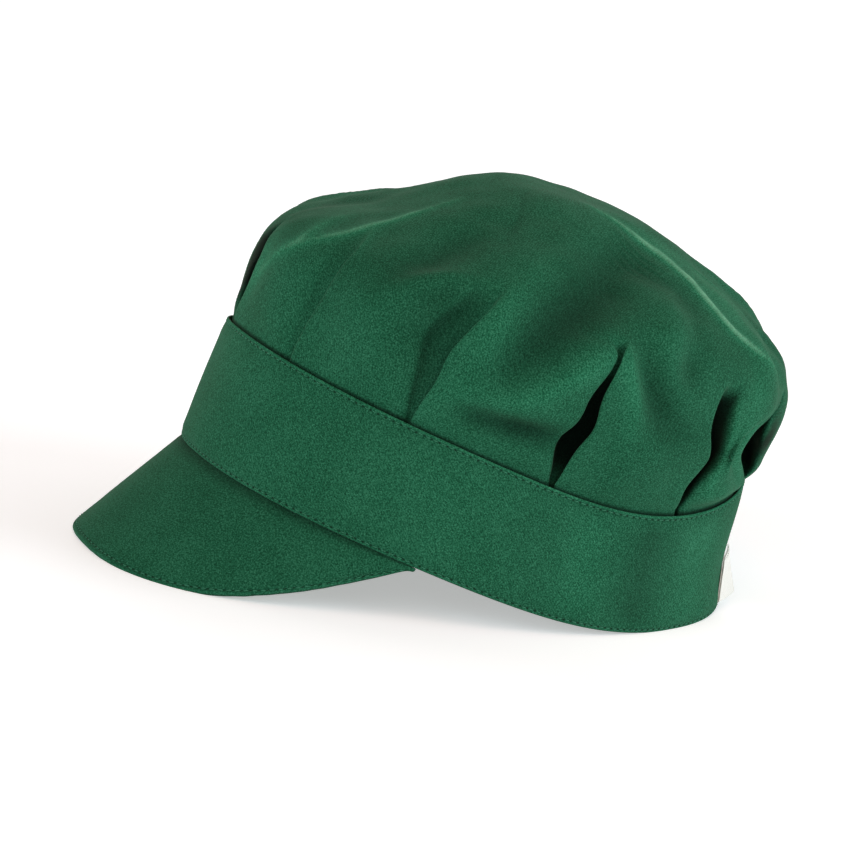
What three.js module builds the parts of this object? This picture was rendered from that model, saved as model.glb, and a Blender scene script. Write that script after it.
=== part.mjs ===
// A cook's cap: a puffy crown pleated into a headband, a short stiff peak and a small woven label.
// It rests on z = 0 on its peak and on the back of its rim. Front is -Y, the wearer's left is +X.
// Millimetres and degrees. Each piece is drawn about the head first and is then tilted onto the surface.

import * as THREE from 'three';

// Driving dimensions
const RIM = { front: 100, back: 100, side: 83.3 };
const BAND_TOP = { front: 95.9, back: 98.4, side: 80.8 };
const BAND_HEIGHT = 43.5;
const BAND_WALL = 2.4;
const BAND_EDGE_ROUND = 0.6;
const PLAN_SQUARENESS = 2.15;
const CROWN_WALL = 1.8;
const CROWN_TUCK = 7;
const SEAM_RISE = 1.8;
const GAP = 0.3;
const TUCK_GAP = 0.4;
const PEAK_LENGTH = 49.6;
const PEAK_END_LENGTH = 4;
const PEAK_HALF_ANGLE = 59.2;
const PEAK_ROUNDING = 3.27;
const PEAK_FULLNESS = 1.255;
const PEAK_DROOP = 51.3;
const PEAK_END_DROOP = 56;
const PEAK_WALL = 2.2;
const PEAK_INSET = 0.4;
const LABEL_WIDTH = 16;
const LABEL_HEIGHT = 16;
const LABEL_WALL = 1;
const LABEL_AT = 157;
const LABEL_TOP = 19.5;
const LABEL_FLARE = 4;
const LABEL_TWIST = 2.2;
const REST_TILT = 8.25;
const FLATTENED = 0.6;

// The rim and the seam aren't level: how far each rises and falls round the head, by harmonics
const RIM_WAVE = [3.4, 5.8, -1.8, 0.4];
const SEAM_WAVE = [3.6, 7.3, -2.5, 0.8];

// Crown sections from the seam to the top: height and reach to the front, the back and each side
const SECTIONS = [
  { height: 43.5, front: 95.4, back: 98.8, side: 80.8 },
  { height: 50.0, front: 94.8, back: 100.3, side: 82.5 },
  { height: 60.0, front: 93.8, back: 101.8, side: 85.5 },
  { height: 72.0, front: 92.6, back: 103.0, side: 88.0 },
  { height: 82.0, front: 90.2, back: 101.6, side: 88.5 },
  { height: 91.0, front: 83.8, back: 96.5, side: 85.5 },
  { height: 98.5, front: 72.5, back: 89.5, side: 78.5 },
  { height: 106.0, front: 57.0, back: 79.5, side: 67.0 },
  { height: 113.5, front: 41.5, back: 65.0, side: 52.0 },
  { height: 120.5, front: 27.0, back: 47.0, side: 36.0 },
  { height: 125.5, front: 14.0, back: 27.0, side: 20.0 },
  { height: 127.5, front: 0, back: 0, side: 0 },
];

// Pleats round the band, from the front past the wearer's left: where each leaves the seam and ends,
// how far up the cloth it runs, the depth and width of its hollow, and the side whose panel lies on top
const PLEATS = [
  { at: 19, end: 24, reach: 58, depth: 1.5, width: 7, over: 1 },
  { at: 50, end: 60, reach: 62, depth: 7, width: 15, over: 1 },
  { at: 87, end: 92, reach: 52, depth: 10, width: 9, over: 1 },
  { at: 123, end: 121, reach: 48, depth: 11, width: 10, over: -1 },
  { at: 150, end: 143, reach: 42, depth: 9, width: 10, over: -1 },
  { at: 182, end: 180, reach: 45, depth: 7, width: 11, over: -1 },
  { at: 214, end: 219, reach: 48, depth: 9, width: 10, over: 1 },
  { at: 246, end: 243, reach: 50, depth: 10, width: 11, over: 1 },
  { at: 277, end: 272, reach: 54, depth: 9, width: 10, over: -1 },
  { at: 311, end: 305, reach: 60, depth: 7, width: 14, over: -1 },
  { at: 344, end: 350, reach: 56, depth: 6, width: 9, over: 1 },
];

// Soft folds of the crown: places along each as degrees round the head and height up the cloth from
// 0 at the seam to 1 at the top, its half width, and how far it lifts the cloth or sinks it
const FOLDS = [
  { along: [[13, 0.33], [15, 0.47], [13, 0.62], [20, 0.72]], width: 4, lift: 2 },
  { along: [[4, 0.25], [8, 0.35], [2, 0.45]], width: 5, lift: 1.5 },
  { along: [[44, 0.5], [50, 0.44], [58, 0.46]], width: 11, lift: 3 },
  { along: [[70, 0.19], [75, 0.36], [98, 0.55], [122, 0.73]], width: 14, lift: -5 },
  { along: [[57, 0.1], [79, 0.2], [89, 0.32]], width: 9, lift: 2.5 },
  { along: [[58, 0.065], [75, 0.11], [86, 0.1]], width: 4, lift: -2.2 },
  { along: [[97, 0.3], [104, 0.22], [120, 0.155]], width: 6, lift: -3.5 },
  { along: [[126, 0.75], [134, 0.68], [124, 0.55], [125, 0.38], [139, 0.3], [150, 0.24]], width: 5, lift: 3.5 },
  { along: [[136, 0.53], [142, 0.4], [142, 0.34]], width: 3.5, lift: 1.8 },
  { along: [[288, 0.2], [283, 0.36], [262, 0.55], [240, 0.7]], width: 14, lift: -5 },
  { along: [[302, 0.1], [284, 0.2], [272, 0.32]], width: 9, lift: 2.5 },
  { along: [[232, 0.7], [228, 0.5], [222, 0.3]], width: 6, lift: 3 },
  { along: [[198, 0.3], [190, 0.5], [200, 0.7]], width: 9, lift: -3 },
  { along: [[330, 0.35], [338, 0.5], [325, 0.66]], width: 9, lift: -2.5 },
];

// How finely the faceted surfaces are drawn
const BAND_COLUMNS = 72;
const PEAK_COLUMNS = 28;
const PEAK_ROWS = 5;
const CROWN_ROWS = 15;
const LABEL_COLUMNS = 8;
const LABEL_FALLS = [0, 0.33, 0.67, 1];
const PLEAT_COLUMNS = [-0.42, -0.2, -0.09, -0.03, 0.03, 0.12, 0.3];

const GREEN = '#1f5a40';
const WHITE = '#e9e8e2';

const radians = THREE.MathUtils.degToRad;
const mix = THREE.MathUtils.lerp;
const clamp = THREE.MathUtils.clamp;

// Distance from the head's axis to an oval of the given reaches
function planRadius(angle, reach) {
  const c = Math.cos(angle);
  const s = Math.sin(angle);
  const fore = c > 0 ? reach.front : reach.back;
  const n = PLAN_SQUARENESS;
  return (Math.abs(c / fore) ** n + Math.abs(s / reach.side) ** n) ** (-1 / n);
}

function around(angle, radius, height) {
  return new THREE.Vector3(radius * Math.sin(angle), -radius * Math.cos(angle), height);
}

function wave(angle, harmonics) {
  return harmonics.reduce((sum, size, i) => sum + size * Math.cos((i + 1) * angle), 0);
}

// Faces between rows of point numbers, all of one length; rows that wrap join their own ends
function skin(rows, wraps, flip) {
  const faces = [];
  const across = rows[0].length;
  const spans = wraps ? across : across - 1;
  for (let i = 0; i < rows.length - 1; i += 1) {
    for (let j = 0; j < spans; j += 1) {
      const k = (j + 1) % across;
      const quad = [rows[i][j], rows[i][k], rows[i + 1][k], rows[i + 1][j]];
      if (flip) quad.reverse();
      faces.push([quad[0], quad[1], quad[2]], [quad[0], quad[2], quad[3]]);
    }
  }
  return faces;
}

function body(points, faces) {
  const geometry = new THREE.BufferGeometry();
  geometry.setAttribute('position', new THREE.Float32BufferAttribute(points.flatMap((p) => p.toArray()), 3));
  geometry.setIndex(faces.flat());
  geometry.computeVertexNormals();
  return geometry;
}

// Headband: a rounded upright section carried round the head
function headband() {
  const e = BAND_EDGE_ROUND;
  const w = BAND_WALL;
  const section = [
    [0, e, 0], [0, 0, e], [0.33, 0, 0], [0.67, 0, 0], [1, 0, -e], [1, e, 0],
    [1, w - e, 0], [1, w, -e], [0.5, w, 0], [0, w, e], [0, w - e, 0],
  ];
  const rows = [];
  const points = [];
  for (let j = 0; j < BAND_COLUMNS; j += 1) {
    const angle = (2 * Math.PI * j) / BAND_COLUMNS;
    rows.push(section.map(([up, inset, lift]) => {
      const radius = mix(planRadius(angle, RIM), planRadius(angle, BAND_TOP), up);
      const foot = wave(angle, RIM_WAVE);
      const head = BAND_HEIGHT + wave(angle, SEAM_WAVE);
      points.push(around(angle, radius - inset, mix(foot, head, up) + lift));
      return points.length - 1;
    }));
  }
  rows.push(rows[0]);
  return body(points, skin(rows, true, true));
}

// Peak: two faces carried forward and down from the rim, longest at the middle
function peak() {
  const points = [];
  const grid = (inset) => {
    const rows = [];
    for (let i = 0; i <= PEAK_ROWS; i += 1) {
      const row = [];
      for (let j = 0; j <= PEAK_COLUMNS; j += 1) {
        const side = (2 * j) / PEAK_COLUMNS - 1;
        const angle = radians(PEAK_HALF_ANGLE * side);
        const droop = radians(mix(PEAK_DROOP, PEAK_END_DROOP, side ** 2));
        const full = PEAK_LENGTH * (1 - Math.abs(side) ** PEAK_ROUNDING) ** PEAK_FULLNESS;
        const length = Math.max(full, PEAK_END_LENGTH) * (i / PEAK_ROWS);
        const start = around(angle, planRadius(angle, RIM) - inset, wave(angle, RIM_WAVE) - GAP);
        row.push(points.push(start.add(new THREE.Vector3(
          0, -length * Math.cos(droop), -length * Math.sin(droop),
        ))) - 1);
      }
      rows.push(row);
    }
    return rows;
  };
  const top = grid(PEAK_INSET);
  const under = grid(PEAK_INSET + PEAK_WALL / Math.sin(radians(PEAK_DROOP)));
  const last = PEAK_COLUMNS;
  const faces = [
    ...skin(top, false, true),
    ...skin(under, false, false),
    ...skin([top[0], under[0]], false, false),
    ...skin([top[PEAK_ROWS], under[PEAK_ROWS]], false, true),
    ...skin([top.map((row) => row[0]), under.map((row) => row[0])], false, true),
    ...skin([top.map((row) => row[last]), under.map((row) => row[last])], false, false),
  ];
  return body(points, faces);
}

// The crown's reaches and height at a share of the way up the cloth, through the sections
const crownPath = (() => {
  const mean = SECTIONS.map((s) => new THREE.Vector2((s.front + s.back + s.side) / 3, s.height));
  const lengths = [0];
  for (let i = 1; i < mean.length; i += 1) lengths.push(lengths[i - 1] + mean[i].distanceTo(mean[i - 1]));
  return { lengths, total: lengths.at(-1) };
})();

function sectionAt(share) {
  const length = clamp(share, 0, 1) * crownPath.total;
  let i = crownPath.lengths.findIndex((l) => l >= length) - 1;
  i = clamp(i, 0, SECTIONS.length - 2);
  const t = (length - crownPath.lengths[i]) / (crownPath.lengths[i + 1] - crownPath.lengths[i]);
  const before = SECTIONS[Math.max(i - 1, 0)];
  const after = SECTIONS[Math.min(i + 2, SECTIONS.length - 1)];
  const smooth = (key) => {
    const [a, b, c, d] = [before[key], SECTIONS[i][key], SECTIONS[i + 1][key], after[key]];
    return b + 0.5 * t * (c - a + t * (2 * a - 5 * b + 4 * c - d + t * (3 * (b - c) + d - a)));
  };
  return { height: smooth('height'), front: smooth('front'), back: smooth('back'), side: smooth('side') };
}

// A point of the crown before it is folded
function smoothCrown(angle, share) {
  const section = sectionAt(share);
  const levelling = clamp(1 - share / 0.5, 0, 1) ** 1.5;
  const height = section.height + wave(angle, SEAM_WAVE) * levelling;
  return around(angle, Math.max(planRadius(angle, {
    front: Math.max(section.front, 0.01),
    back: Math.max(section.back, 0.01),
    side: Math.max(section.side, 0.01),
  }), 0), height);
}

const foldLines = FOLDS.map((fold) => {
  const stops = fold.along.map(([degree, share]) => smoothCrown(radians(degree), share));
  return { ...fold, line: new THREE.CatmullRomCurve3(stops).getPoints(24) };
});

// How far the soft folds lift a point, each fading out past its ends
function foldLift(point) {
  return foldLines.reduce((sum, { line, width, lift }) => {
    let near = Infinity;
    let at = 0;
    line.forEach((stop, i) => {
      const distance = stop.distanceTo(point);
      if (distance < near) [near, at] = [distance, i];
    });
    const along = Math.sin(Math.PI * clamp(0.12 + (0.76 * at) / (line.length - 1), 0, 1));
    return sum + lift * along * Math.exp(-((near / width) ** 2));
  }, 0);
}

// Depth of a pleat's hollow at a share up the cloth: shallow at the seam, deepest a third of the way up
function hollowDepth(pleat, share) {
  const run = (share * crownPath.total) / pleat.reach;
  if (run >= 1) return 0;
  return pleat.depth * Math.sin(Math.PI * run ** 0.62) ** 1.2 + 0.8 * (1 - run);
}

function pleatAngle(pleat, share) {
  const run = clamp((share * crownPath.total) / pleat.reach, 0, 1);
  return mix(pleat.at, pleat.end, run);
}

// Columns of the crown follow its pleats, and crowd together at each fold edge
function crownColumns(share) {
  return PLEATS.flatMap((pleat, i) => {
    const here = pleatAngle(pleat, share);
    const next = pleatAngle(PLEATS[(i + 1) % PLEATS.length], share) + (i + 1 === PLEATS.length ? 360 : 0);
    const last = pleatAngle(PLEATS.at(i - 1), share) - (i === 0 ? 360 : 0);
    return PLEAT_COLUMNS.map((place) => {
      const toward = place * pleat.over;
      const span = toward < 0 ? here - last : next - here;
      return { pleat, angle: here + toward * span };
    }).sort((a, b) => a.angle - b.angle);
  });
}

function crownPoint({ angle: degree }, share) {
  const angle = radians(degree);
  const point = smoothCrown(angle, share);
  const outward = smoothCrown(angle + 0.01, share).sub(smoothCrown(angle - 0.01, share))
    .cross(smoothCrown(angle, share + 0.01).sub(smoothCrown(angle, share - 0.01))).normalize();
  const sunk = PLEATS.reduce((sum, pleat) => {
    let off = degree - pleatAngle(pleat, share);
    off -= 360 * Math.round(off / 360);
    const distance = radians(off) * Math.hypot(point.x, point.y) * pleat.over;
    const depth = hollowDepth(pleat, share);
    return sum + (distance > 0 ? 0 : depth * Math.exp(-((-distance / pleat.width) ** 1.5)));
  }, 0);
  return point.addScaledVector(outward, foldLift(point) - sunk);
}

// Crown: an outer skin of folded cloth, an inner skin a wall's thickness within, and a tucked edge
function crown() {
  const points = [];
  const outer = [];
  const reach = (angle) => planRadius(angle, BAND_TOP) - BAND_WALL - TUCK_GAP;
  const angles = crownColumns(0).map((column) => radians(column.angle));
  const seam = (angle) => BAND_HEIGHT + wave(angle, SEAM_WAVE);
  const ring = (make) => angles.map((angle) => points.push(make(angle)) - 1);
  outer.push(ring((angle) => around(angle, reach(angle), seam(angle) - CROWN_TUCK)));
  outer.push(ring((angle) => around(angle, reach(angle), seam(angle) + GAP)));
  outer.push(ring((angle) => around(angle, reach(angle) + BAND_WALL, seam(angle) + SEAM_RISE)));
  for (let i = 1; i < CROWN_ROWS; i += 1) {
    const share = (i / CROWN_ROWS) ** 1.05;
    outer.push(crownColumns(share).map((column) => points.push(crownPoint(column, share)) - 1));
  }
  const crownTop = points.push(smoothCrown(0, 1)) - 1;
  outer.push(angles.map(() => crownTop));
  const faces = skin(outer, true, false).filter((face) => new Set(face).size === 3);
  const normals = body(points, faces).getAttribute('normal');
  const count = points.length;
  for (let i = 0; i < count; i += 1) {
    const inward = new THREE.Vector3().fromBufferAttribute(normals, i);
    points.push(points[i].clone().addScaledVector(inward, -CROWN_WALL));
  }
  const inner = outer.map((row) => row.map((i) => i + count));
  faces.push(...skin(inner, true, true).filter((face) => new Set(face).size === 3));
  faces.push(...skin([inner[0], outer[0]], true, false));
  return body(points, faces);
}

// Label: a small flat of doubled tape, sewn down along its top and standing off the band below
function label() {
  const points = [];
  const centre = radians(LABEL_AT);
  const half = LABEL_WIDTH / 2;
  const rows = [];
  const radiusAt = (angle, drop) => {
    const up = (LABEL_TOP - drop) / BAND_HEIGHT;
    return mix(planRadius(angle, RIM), planRadius(angle, BAND_TOP), up);
  };
  LABEL_FALLS.forEach((fall) => {
    [GAP, GAP + LABEL_WALL].forEach((off) => {
      const row = [];
      for (let j = 0; j <= LABEL_COLUMNS; j += 1) {
        const side = (2 * j) / LABEL_COLUMNS - 1;
        const angle = centre + side * (half / radiusAt(centre, 0));
        const drop = fall * LABEL_HEIGHT;
        const radius = radiusAt(angle, drop) + off + (LABEL_FLARE + LABEL_TWIST * side) * fall ** 1.2;
        row.push(points.push(around(angle, radius, wave(angle, RIM_WAVE) + LABEL_TOP - drop)) - 1);
      }
      rows.push(row);
    });
  });
  const near = rows.filter((_, i) => i % 2 === 0);
  const far = rows.filter((_, i) => i % 2 === 1);
  const faces = [
    ...skin(far, false, true),
    ...skin(near, false, false),
    ...skin([far[0], near[0]], false, false),
    ...skin([far.at(-1), near.at(-1)], false, true),
    ...skin([far.map((row) => row[0]), near.map((row) => row[0])], false, true),
    ...skin([far.map((row) => row[LABEL_COLUMNS]), near.map((row) => row[LABEL_COLUMNS])], false, false),
  ];
  return body(points, faces);
}

function piece(name, geometry, colour, roughness) {
  const mesh = new THREE.Mesh(geometry, new THREE.MeshStandardMaterial({ color: colour, roughness, metalness: 0 }));
  mesh.name = name;
  return mesh;
}

// Tilts the cap back onto its peak and rim, and flattens the cloth where it touches the surface
function settle(group) {
  const tilt = new THREE.Matrix4().makeRotationX(-radians(REST_TILT));
  group.children.forEach((mesh) => mesh.geometry.applyMatrix4(tilt));
  const box = new THREE.Box3().setFromObject(group);
  const centre = box.getCenter(new THREE.Vector3());
  group.children.forEach(({ geometry }) => {
    geometry.translate(-centre.x, -centre.y, -box.min.z - FLATTENED);
    const position = geometry.getAttribute('position');
    for (let i = 0; i < position.count; i += 1) position.setZ(i, Math.max(position.getZ(i), 0));
  });
  return group;
}

const cap = new THREE.Group();
cap.add(piece('headband', headband(), GREEN, 0.9));
cap.add(piece('crown', crown(), GREEN, 0.9));
cap.add(piece('peak', peak(), GREEN, 0.9));
cap.add(piece('label', label(), WHITE, 0.85));

export default settle(cap);
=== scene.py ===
"""A cook's cap in dark green twill: a pleated crown, a headband, a stiff peak and a blank woven label.

Sizes are millimetres in the cap's own frame, in which the wearer's head stands upright, and become
metres in the part's frame when a piece is placed there. Angles go round the head in degrees, from the
middle of the front towards the wearer's left. Heights on the crown are measured up its cloth.
"""

from __future__ import annotations

import logging
import math
from contextlib import contextmanager
from dataclasses import dataclass
from enum import Enum
from functools import reduce
from typing import Iterator, NamedTuple, Sequence

import bmesh
import bpy
import numpy as np
from bpy.types import ID, Material, Mesh, Node, NodeSocket, Object
from mathutils import Matrix, Vector
from numpy import ndarray as Array


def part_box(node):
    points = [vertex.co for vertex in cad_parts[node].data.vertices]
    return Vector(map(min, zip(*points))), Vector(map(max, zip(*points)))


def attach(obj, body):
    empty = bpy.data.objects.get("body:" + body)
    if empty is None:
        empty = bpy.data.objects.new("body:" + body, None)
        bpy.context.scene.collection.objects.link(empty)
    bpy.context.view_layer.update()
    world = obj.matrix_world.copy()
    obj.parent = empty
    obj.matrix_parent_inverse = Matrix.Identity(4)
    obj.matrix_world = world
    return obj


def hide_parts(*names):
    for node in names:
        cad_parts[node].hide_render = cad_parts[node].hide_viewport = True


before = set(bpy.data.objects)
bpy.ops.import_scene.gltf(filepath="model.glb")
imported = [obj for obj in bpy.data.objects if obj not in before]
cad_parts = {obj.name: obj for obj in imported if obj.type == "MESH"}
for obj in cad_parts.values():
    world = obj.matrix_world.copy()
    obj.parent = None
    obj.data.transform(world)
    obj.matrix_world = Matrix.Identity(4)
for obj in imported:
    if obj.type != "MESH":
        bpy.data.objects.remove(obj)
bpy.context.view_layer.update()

MM = 0.001
PICTURE = 850
LEVEL = np.array([1.0, 1.0, 0.0])
LOG = logging.getLogger("cap")


def smooth_step(value: Array | float) -> Array:
    """Eases 0 to 1 with level ends, and holds outside."""
    t = np.clip(value, 0.0, 1.0)
    return t * t * (3.0 - 2.0 * t)


def mix(low: Array | float, high: Array | float, share: Array | float) -> Array:
    """Goes from low to high as share goes from 0 to 1."""
    return low + (high - low) * share


def unit(vectors: Array) -> Array:
    """Vectors of length 1 along the given ones."""
    return vectors / np.maximum(np.linalg.norm(vectors, axis=-1, keepdims=True), 1e-9)


def around(angle: Array, radius: Array, height: Array) -> Array:
    """Points at an angle in radians, a distance from the head's axis and a height."""
    angle, radius, height = np.broadcast_arrays(angle, radius, height)
    return np.stack([radius * np.sin(angle), -radius * np.cos(angle), height], axis=-1)


def angle_of(points: Array) -> Array:
    """How far round the head each point lies, in radians."""
    return np.arctan2(points[:, 0], -points[:, 1])


def bell(value: Array, at: float, width: float) -> Array:
    """1 at a value, falling off evenly on both sides of it."""
    return np.exp(-((value - at) / width) ** 2)


def run_along(places: Array) -> Array:
    """How far along a line of points each one lies."""
    return np.concatenate([[0.0], np.cumsum(np.linalg.norm(np.diff(places, axis=0), axis=1))])


def between(values: Array, cell: Array, t: Array) -> Array:
    """Goes smoothly from the value at each cell, where t is 0, to the next, where it is 1."""
    a, b, c, d = (values[np.clip(cell + k, 0, len(values) - 1)] for k in (-1, 0, 1, 2))
    return b + 0.5 * t * (c - a + t * (2 * a - 5 * b + 4 * c - d + t * (3 * (b - c) + d - a)))


def smooth_through(values: Sequence[float], t: Array) -> Array:
    """Goes smoothly through a few values, at places t that are counted in values."""
    cell = np.clip(t.astype(int), 0, len(values) - 2)
    return between(np.array(values, dtype=float), cell, t - cell)


def ripple(points: Array, length: float, seed: int, waves: int = 14) -> Array:
    """An irregular swell of about unit height, made of plane waves in many directions.

    Args:
        points: Points in millimetres.
        length: Typical distance between crests, in millimetres.
        seed: Chooses the directions and phases.
        waves: Number of waves that are added up.

    Returns:
        One value for each point.
    """
    rng = np.random.default_rng(seed)
    ways = unit(rng.normal(size=(waves, 3))) * (2.0 * math.pi / length) * rng.uniform(0.7, 1.4, (waves, 1))
    phases = rng.uniform(0.0, 2.0 * math.pi, waves)
    return np.sin(points @ ways.T + phases).sum(axis=-1) / math.sqrt(waves)


def linear_colour(sheet: str) -> tuple[float, float, float, float]:
    """Turns an sRGB hex colour into linear light.

    Args:
        sheet: The colour as six hex digits.

    Returns:
        Red, green, blue and an alpha of 1.
    """
    parts = [int(sheet[i:i + 2], 16) / 255.0 for i in (0, 2, 4)]
    red, green, blue = (c / 12.92 if c <= 0.04045 else ((c + 0.055) / 1.055) ** 2.4 for c in parts)
    return red, green, blue, 1.0


@dataclass(frozen=True)
class Oval:
    """A rounded oval about the head's axis: its reaches, and its power, of which 2 is an ellipse."""

    front: Array | float
    back: Array | float
    side: Array | float
    power: float = 2.15

    def radius(self, angle: Array) -> Array:
        """Distance from the axis at an angle in radians."""
        c, s = np.cos(angle), np.sin(angle)
        fore = np.where(c > 0.0, self.front, self.back)
        return (np.abs(c / fore) ** self.power + np.abs(s / self.side) ** self.power) ** (-1.0 / self.power)


@dataclass
class HeadForm:
    """The cap's own frame: the band's shape round the head, and how the cap is set down.

    Each wave gives the rise and fall of one of the band's edges, as the sizes of its first harmonics.
    """

    rim: Oval = Oval(100.0, 100.0, 83.3)
    band_top: Oval = Oval(95.9, 98.4, 80.8)
    band_height: float = 43.5
    edge_round: float = 0.6
    rim_wave: tuple[float, ...] = (3.4, 5.8, -1.8, 0.4)
    seam_wave: tuple[float, ...] = (3.6, 7.3, -2.5, 0.8)
    rest_tilt: float = math.radians(8.25)

    def __post_init__(self) -> None:
        """Finds where the band stands from the frame's own headband."""
        angles = np.linspace(0.0, 2.0 * math.pi, 721)
        edges = np.concatenate([self.band_point(angles, up, 0.0) for up in (0.0, 0.33, 0.67, 1.0)])
        turned = self.turn(edges)
        low, high = (np.array(corner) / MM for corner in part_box("headband"))
        middle = 0.5 * (low + high) - 0.5 * (turned.min(axis=0) + turned.max(axis=0))
        lift = high[2] - self.turn(self.band_point(angles, 1.0, self.edge_round))[:, 2].max()
        self.shift = np.array([middle[0], middle[1], lift])

    @staticmethod
    def wave(angle: Array, harmonics: Sequence[float]) -> Array:
        """Rise and fall round the head, by harmonics."""
        return sum(size * np.cos((i + 1) * angle) for i, size in enumerate(harmonics))

    def rim_height(self, angle: Array) -> Array:
        """Height of the band's lower edge."""
        return self.wave(angle, self.rim_wave)

    def seam_height(self, angle: Array) -> Array:
        """Height of the band's upper edge, where the crown is sewn in."""
        return self.band_height + self.wave(angle, self.seam_wave)

    def band_radius(self, angle: Array, up: Array | float) -> Array:
        """Outer radius of the band at a share of its height."""
        return mix(self.rim.radius(angle), self.band_top.radius(angle), up)

    def band_point(self, angle: Array, up: Array | float, inset: Array | float,
                   lift: Array | float = 0.0) -> Array:
        """A point of the band: at an angle and a share of the height, so far in, and so far above that."""
        height = mix(self.rim_height(angle), self.seam_height(angle), up) + lift
        return around(angle, self.band_radius(angle, up) - inset, height)

    def turn(self, points: Array) -> Array:
        """Tilts points back, as the cap tilts when its peak props up the front."""
        c, s = math.cos(self.rest_tilt), math.sin(self.rest_tilt)
        x, y, z = np.moveaxis(points, -1, 0)
        return np.stack([x, c * y + s * z, c * z - s * y], axis=-1)

    def place(self, points: Array) -> Array:
        """Sets points down in the part's frame, in metres, flattened where they meet the surface."""
        rested = (self.turn(points) + self.shift) * MM
        rested[..., 2] = np.maximum(rested[..., 2], 0.0)
        return rested


@contextmanager
def edited(mesh: Mesh) -> Iterator[bmesh.types.BMesh]:
    """Opens a mesh for editing, and writes it back afterwards."""
    bm = bmesh.new()
    bm.from_mesh(mesh)
    yield bm
    bm.to_mesh(mesh)
    bm.free()


def put(name: str, data: ID) -> Object:
    """Puts an object with this data in the scene."""
    made = bpy.data.objects.new(name, data)
    bpy.context.scene.collection.objects.link(made)
    return made


def grid_mesh(name: str, places: Array, flat: Array, wraps: bool, closes: bool,
              shade: Array, outward: Array | None = None) -> Mesh:
    """Lays a grid over a table of places, one row of the grid to each row of the table.

    Args:
        name: The mesh's name.
        places: Rows by columns of points, in millimetres.
        flat: Rows by columns of places on the flat cloth, for the UV map.
        wraps: Whether the last column meets the first.
        closes: Whether the last row meets the first.
        shade: Painted shade at each place, below 0 painted highlight, kept as an attribute of that name.
        outward: The outward direction at each place, kept likewise.

    Returns:
        The mesh, with doubles merged.
    """
    rows, columns = places.shape[:2]
    across = columns if wraps else columns - 1
    along = rows if closes else rows - 1
    kept = np.zeros_like(places) if outward is None else np.broadcast_to(outward, places.shape)
    mesh = bpy.data.meshes.new(name)
    with edited(mesh) as bm:
        cloth = bm.loops.layers.uv.new("cloth")
        darker = bm.verts.layers.float.new("shade")
        ways = bm.verts.layers.float_vector.new("outward")
        bmesh.ops.create_grid(bm, x_segments=across, y_segments=along, size=1.0)
        for face in bm.faces:
            for loop in face.loops:
                at = loop.vert.co
                loop[cloth].uv = flat[round((at.y + 1.0) * 0.5 * along), round((at.x + 1.0) * 0.5 * across)]
        for vert in bm.verts:
            row = round((vert.co.y + 1.0) * 0.5 * along) % rows
            column = round((vert.co.x + 1.0) * 0.5 * across) % columns
            vert.co = places[row, column] * MM
            vert[darker] = shade[row, column]
            vert[ways] = kept[row, column]
        bmesh.ops.remove_doubles(bm, verts=bm.verts, dist=1e-7)
    return mesh


def subdivided(mesh: Mesh) -> Mesh:
    """A finer copy of a mesh, rounded once by a Subdivision Surface modifier that is then applied.

    Args:
        mesh: The cage, which is removed.

    Returns:
        The finer mesh, under the cage's name.
    """
    name = mesh.name
    cage = put(name + "_cage", mesh)
    rounding = cage.modifiers.new("rounding", "SUBSURF")
    rounding.levels = rounding.render_levels = 1
    evaluated = cage.evaluated_get(bpy.context.evaluated_depsgraph_get())
    fine = bpy.data.meshes.new_from_object(evaluated)
    bpy.data.objects.remove(cage)
    bpy.data.meshes.remove(mesh)
    fine.name = name
    return fine


def read_vectors(mesh: Mesh, key: str = "position") -> Array:
    """A vector attribute of the mesh's points, as an array."""
    flat = np.empty(3 * len(mesh.vertices))
    mesh.attributes[key].data.foreach_get("vector", flat)
    return flat.reshape(-1, 3)


def darken(mesh: Mesh, more: Array) -> None:
    """Adds painted shade, or painted highlight where below 0, to a mesh's cloth at each vertex, within
    limits.
    """
    palest, darkest = -1.6, 0.96
    kept = np.empty(len(mesh.vertices))
    mesh.attributes["shade"].data.foreach_get("value", kept)
    mesh.attributes["shade"].data.foreach_set("value", np.clip(kept + more, palest, darkest))


def write_points(mesh: Mesh, points: Array) -> None:
    """Moves the mesh's points."""
    mesh.vertices.foreach_set("co", points.ravel())
    mesh.update()


def show(name: str, mesh: Mesh, material: Material) -> Object:
    """Makes an object of a mesh, smooth and dressed in one material."""
    piece = put(name, mesh)
    mesh.materials.append(material)
    mesh.shade_smooth()
    return piece


def thicken(piece: Object, wall: float) -> None:
    """Gives a sheet of cloth its thickness, inward from the face that shows."""
    solid = piece.modifiers.new("thickness", "SOLIDIFY")
    solid.thickness = wall * MM
    solid.offset = -1.0
    solid.use_rim = True
    solid.use_even_offset = False


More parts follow.
